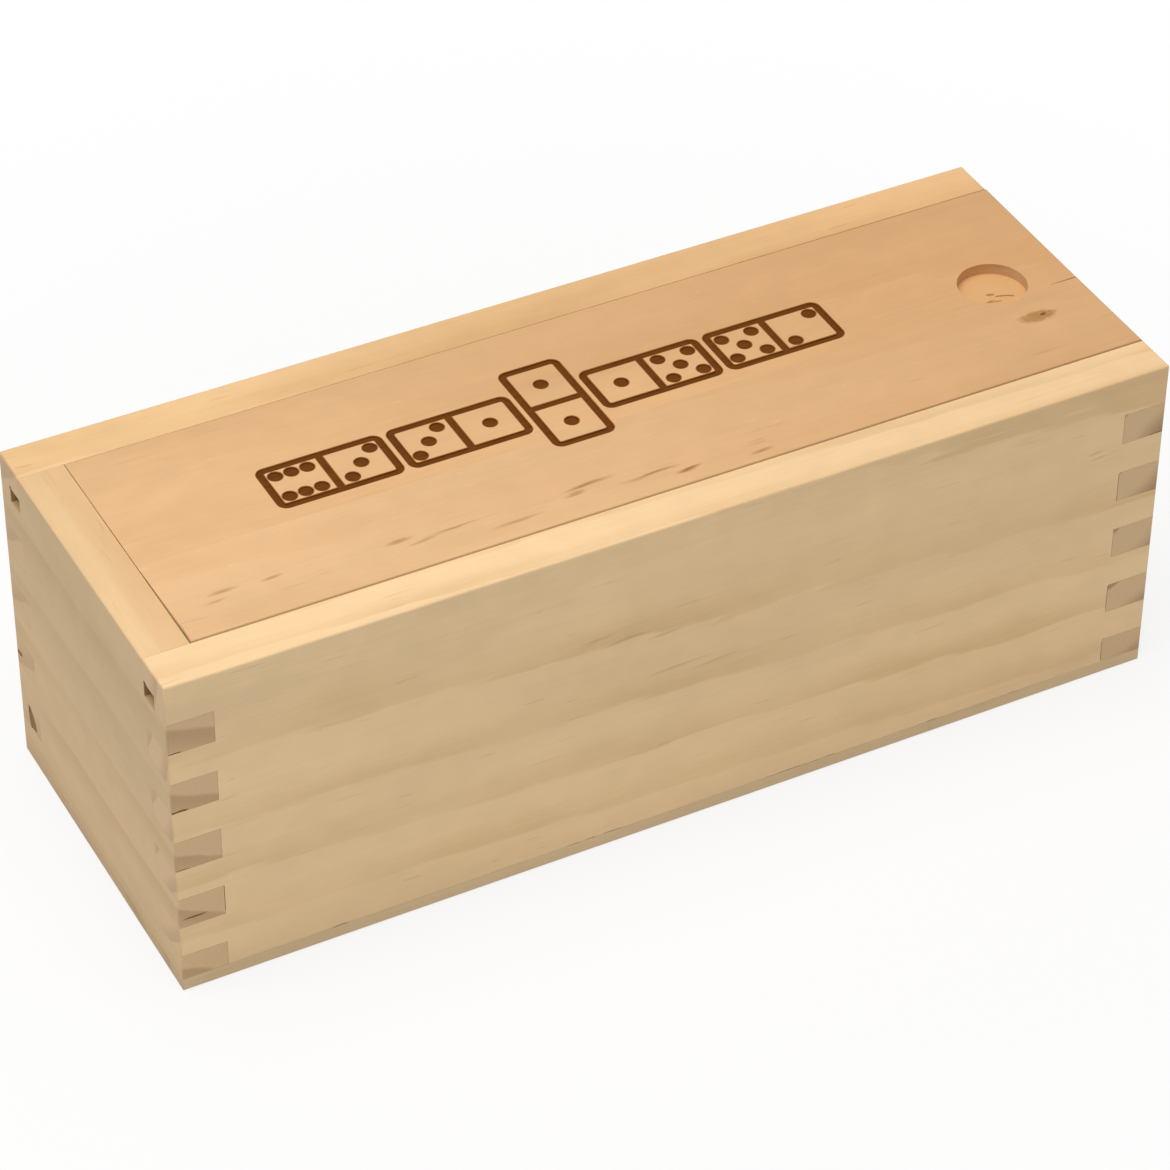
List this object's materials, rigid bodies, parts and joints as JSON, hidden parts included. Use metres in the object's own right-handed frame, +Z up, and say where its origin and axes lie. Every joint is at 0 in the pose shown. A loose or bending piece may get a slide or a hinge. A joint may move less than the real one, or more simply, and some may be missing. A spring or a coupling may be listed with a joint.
{
  "type": "domino storage box",
  "caption": "Long wooden storage box for a set of dominoes, with finger-jointed corners and a grooved lid that slides out at one end by a thumb notch.",
  "frame": {"origin": "centre of the box's footprint, on the face it rests on", "axes": "+X along the box's length, towards the open end where the lid slides out; the front long side faces -Y; +Z up, out of the lid's top"},
  "size_m": [0.18, 0.066, 0.063],
  "materials": {
    "wall_wood": "bare sanded pine, pale cream, matt",
    "lid_wood": "bare sanded pine, warmer than the walls, matt, with a shallow burnt engraving",
    "bottom_wood": "thin plain board, greyer than the walls, matt"
  },
  "bodies": {
    "box": {"front_side": "wall_wood", "back_side": "wall_wood", "closed_end": "wall_wood", "open_end": "wall_wood", "bottom_board": "bottom_wood"},
    "lid": {"lid_board_front": "lid_wood", "lid_board_back": "lid_wood"}
  },
  "joints": [
    {"name": "lid_slide", "type": "slide", "parent": "box", "child": "lid", "axis": [1, 0, 0], "range_m": [0, 0.178]}
  ]
}
